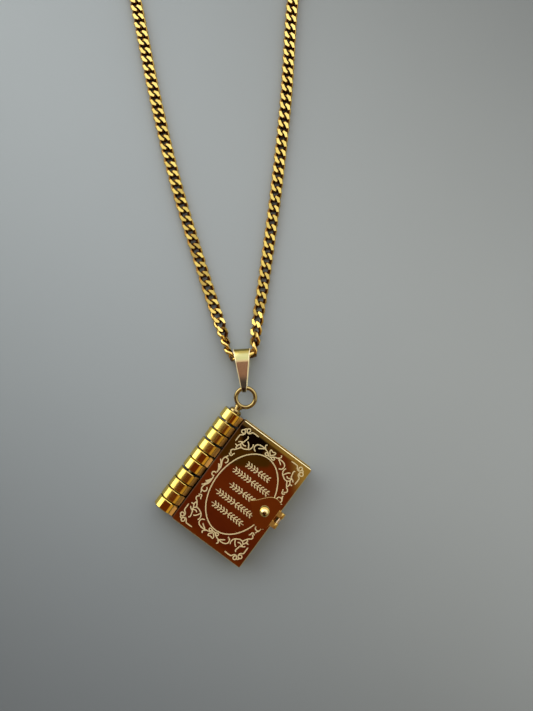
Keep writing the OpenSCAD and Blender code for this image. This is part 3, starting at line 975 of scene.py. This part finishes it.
class LOCKET_OT_engraving(bpy.types.Operator):
    """Draw the engraved frame on the front cover"""
    bl_idname = "locket.engraving"
    bl_label = "Engraving"

    def execute(self, context):
        settings = context.scene.locket_engraving
        bm = bmesh.new()
        for k, path in enumerate(engraved_paths()):
            scaled = [(x * MM, y * MM) for x, y in path]
            top = COVER_TOP + settings.proud + k % HEIGHT_STEPS * HEIGHT_STEP
            ribbon(bm, scaled, settings.line, top)
        depth = settings.proud + SUNK
        walls = bmesh.ops.extrude_face_region(bm, geom=bm.faces[:])["geom"]
        bmesh.ops.translate(bm, vec=(0, 0, -depth), verts=only(BMVert, walls))
        bmesh.ops.recalc_face_normals(bm, faces=bm.faces)
        on_cover = axes_matrix(ACROSS, ALONG, UP, COVER_MIDDLE)
        bmesh.ops.transform(bm, matrix=on_cover, verts=bm.verts)
        new_piece("cover_engraving", bm, matt_lines(), "front")
        return {"FINISHED"}


# Regions of the surroundings: the direction to each, and the cosines between which it fades in
BRIGHT_SIDE = ((0.38, 1, -0.032), -0.143, 0.143)
FAR_SIDE = ((0, 1, 0), 0.18, 0.48)
OVERHEAD = ((0, 0, 1), 0.45, 0.8)
COPPER_GLOW = ((0.534, -0.613, 0.582), 0.955, 0.99)
VIEWER = ((0, -0.98, 0.2), 0.84, 0.95)

# Colours of the surroundings
SIDE_LIGHT = (0.98, 0.98, 0.95)
FAR_LIGHT = (1.5, 1.5, 1.9)
ROOM = (0.2, 0.165, 0.12)
ROOM_OVERHEAD = (0.117, 0.0241, 0.0058)
COPPER = (0.54, 0.33, 0.11)
VIEWER_SHADE = (0.02, 0.012, 0.008)
BACKDROP = (0.55, 0.56, 0.56)

# Patches mirrored in the cover: a colour, and ramps over shares of the mm across and along the book
COVER_BOUNDS = ((1, 0, 0.8, 2.4), (1, 0, 30, 22))
DARK_PATCHES = (
    ((0.091, 0.0165, 0.0055), ((0, 1, -2, -9),)),
    ((0.118, 0.027, 0.004), ((0, 1, -10.6, -12.4),)),
    ((0.0558, 0.0266, 0.0036), ((0, 1, 2.8, 4.4), (1, 0, 13.2, 11.8), (1, -1.5, 1.8, 0))),
    ((0.0043, 0.002, 0.0012), ((0, 1, 8.2, 9), (1, 0, 10.2, 9.4), (1, 1.2, 15, 16.4))))
BRIGHT_CORNER = (1, 1, 25.2, 31)
BRIGHT_STRIP = (0, 1, 11.6, 12)
BRIGHT_ACROSS = (3, 19)
BRIGHT_NEAR = (0.1, 0.075, 0.033)
BRIGHT_FAR = (0.33, 0.25, 0.08)

# The least rise that a direction is taken to have
LOWEST_RISE = 0.01

# The floor's band of painted light: the direction across it, its middle from the photo's, and half its
# width
BAND_ACROSS = Vector((0.546, 0.838, 0))
BAND_MIDDLE = 27 * MM
BAND_HALF = 145 * MM

# Where the floor is pale again beside the band of painted light, and how dark the painted shade makes its
# cooler and warmer greys before that
PALE_AGAIN = (100 * MM, 800 * MM)
COOL_PAINTED_SHADE = 0.35
WARM_PAINTED_SHADE = 0.3

# Half the width over which the floor turns from cooler to warmer
SIDE_FADE = 50 * MM

# The soft light's place from the middle of the photo, and the lengths of its sides
WINDOW_AT = Vector((-330, 250, 200)) * MM
WINDOW_SIZE = (500 * MM, 400 * MM)


def cover_reflections(t, direction, dark, distance):
    """The dark things above the locket, laid out by the place on the cover where the camera sees them."""
    above = t.math("MAXIMUM", t.dot(direction, UP), LOWEST_RISE)
    book_middle = SPINE - LAY_SHIFT

    def reflected(axis):
        slope = t.math("DIVIDE", t.dot(direction, axis), above)
        return t.math("SUBTRACT", t.both(slope, distance / MM), axis.dot(book_middle) / MM)

    across, along = reflected(ACROSS), reflected(ALONG)

    def within(across_share, along_share, start, end):
        place = t.math("ADD", t.both(across, across_share), t.both(along, along_share))
        return t.ramp(place, start, end)

    def patch(bounds):
        inside = 1.0
        for bound in bounds:
            inside = t.both(inside, within(*bound))
        return inside

    seen = dark
    for colour, bounds in DARK_PATCHES:
        seen = t.mix(patch(bounds), seen, colour)
    bright = t.mix(t.ramp(across, *BRIGHT_ACROSS), BRIGHT_NEAR, BRIGHT_FAR)
    lit = t.math("MAXIMUM", within(*BRIGHT_CORNER), within(*BRIGHT_STRIP))
    seen = t.mix(lit, seen, bright)
    return t.mix(patch(COVER_BOUNDS), dark, seen)


def add_world(settings):
    """Soft surroundings: bright beyond the far edge, dark and reddish behind the viewer."""
    world = bpy.data.worlds.new("surroundings")
    world.use_nodes = True
    bpy.context.scene.world = world
    t = NodeTree(world.node_tree)
    direction = t.node("ShaderNodeTexCoord").outputs["Generated"]

    def inside(region):
        axis, start, end = region
        return t.ramp(t.dot(direction, axis), start, end)

    bright = t.mix(inside(FAR_SIDE), SIDE_LIGHT, FAR_LIGHT)
    dark = t.mix(inside(OVERHEAD), ROOM, ROOM_OVERHEAD)
    dark = t.mix(inside(COPPER_GLOW), dark, COPPER)
    dark = t.mix(inside(VIEWER), dark, VIEWER_SHADE)
    dark = cover_reflections(t, direction, dark, settings.camera_height - COVER_TOP)
    sky = t.mix(inside(BRIGHT_SIDE), dark, bright)
    seen = t.node("ShaderNodeLightPath").outputs["Is Camera Ray"]
    sky = t.mix(seen, sky, BACKDROP)
    background = t.node("ShaderNodeBackground")
    t.link(sky, background.inputs["Color"])
    background.inputs["Strength"].default_value = settings.light
    out = t.node("ShaderNodeOutputWorld")
    t.link(background.outputs[0], out.inputs[0])


def floor_finish(name, cool, warm):
    """Matt floor with painted light in a wide band from the upper left to the right, painted shade beside
    it that fades back to the plain grey far off, and cooler on the left.
    """
    material, t, shader = new_material(name, metallic=0.0)
    place = t.place()
    mottle = t.noise(place, *FLOOR_MOTTLE)
    band_at = BAND_ACROSS.dot(LAY_SHIFT) + BAND_MIDDLE
    off_band = t.math("ABSOLUTE", t.math("SUBTRACT", t.dot(place, BAND_ACROSS), band_at))
    # Painted light along the band, painted shade beside it
    painted_light_band = t.math("MAXIMUM", t.ramp(off_band, BAND_HALF, 0), t.ramp(off_band, *PALE_AGAIN))
    rightward = t.ramp(t.dot(place, (1, 0, 0)), LAY_SHIFT.x - SIDE_FADE, LAY_SHIFT.x + SIDE_FADE)
    colour = t.mix(rightward, cool, warm)
    painted_floor_shade = t.mix(rightward, darker(cool, COOL_PAINTED_SHADE), darker(warm, WARM_PAINTED_SHADE))
    lit = t.mix(painted_light_band, painted_floor_shade, colour)
    t.link(t.mix(t.both(mottle, MOTTLE_SHARE), lit, (0, 0, 0)), shader.inputs["Base Color"])
    shader.inputs["Roughness"].default_value = 0.7
    shader.inputs["Specular IOR Level"].default_value = 0.25
    return material


class LOCKET_OT_stage(bpy.types.Operator):
    """Set up the floor, the soft light and the camera"""
    bl_idname = "locket.stage"
    bl_label = "Stage"

    def execute(self, context):
        scene = context.scene
        settings = scene.locket_stage
        scene.view_settings.view_transform = "Standard"
        add_world(settings)

        bm = bmesh.new()
        bmesh.ops.create_grid(bm, x_segments=1, y_segments=1, size=3)
        mesh = bpy.data.meshes.new("floor")
        bm.to_mesh(mesh)
        bm.free()
        floor = bpy.data.objects.new("floor", mesh)
        mesh.materials.append(floor_grey())
        scene.collection.objects.link(floor)

        light = bpy.data.lights.new("window", "AREA")
        light.shape = "RECTANGLE"
        light.size, light.size_y = WINDOW_SIZE
        light.energy = settings.window
        lamp = bpy.data.objects.new("window", light)
        lamp.location = LAY_SHIFT + WINDOW_AT
        lamp.rotation_euler = (-WINDOW_AT).to_track_quat("-Z", "Y").to_euler()
        scene.collection.objects.link(lamp)

        camera = bpy.data.cameras.new("camera")
        camera.lens = settings.lens
        camera.sensor_width = 36
        camera.clip_start = 1 * MM
        viewer = bpy.data.objects.new("camera", camera)
        viewer.location = LAY_SHIFT + UP * settings.camera_height
        scene.collection.objects.link(viewer)
        scene.camera = viewer
        return {"FINISHED"}


class LOCKET_PT_panel(bpy.types.Panel):
    """Lists the necklace's settings and steps"""
    bl_label = "Book Locket"
    bl_idname = "LOCKET_PT_panel"
    bl_space_type = "VIEW_3D"
    bl_region_type = "UI"
    bl_category = "Locket"

    def draw(self, context):
        layout = self.layout
        for group in SETTINGS:
            settings = getattr(context.scene, "locket_" + group)
            box = layout.box()
            for name in settings.bl_rna.properties.keys():
                if name not in ("rna_type", "name"):
                    box.prop(settings, name)
        for operator in OPERATORS:
            layout.operator(operator.bl_idname)


SETTINGS = {"chain": ChainSettings, "engraving": EngravingSettings, "finish": FinishSettings,
            "stage": StageSettings}
OPERATORS = (LOCKET_OT_stage, LOCKET_OT_chain, LOCKET_OT_hanger, LOCKET_OT_book, LOCKET_OT_lock,
             LOCKET_OT_engraving)


def register():
    for group, settings in SETTINGS.items():
        bpy.utils.register_class(settings)
        setattr(bpy.types.Scene, "locket_" + group, bpy.props.PointerProperty(type=settings))
    for cls in (*OPERATORS, LOCKET_PT_panel):
        bpy.utils.register_class(cls)


def unregister():
    for cls in (LOCKET_PT_panel, *reversed(OPERATORS)):
        bpy.utils.unregister_class(cls)
    for group, settings in SETTINGS.items():
        delattr(bpy.types.Scene, "locket_" + group)
        bpy.utils.unregister_class(settings)


def main():
    register()
    for step in ("stage", "chain", "hanger", "book", "lock", "engraving"):
        getattr(bpy.ops.locket, step)()


if __name__ == "__main__":
    main()
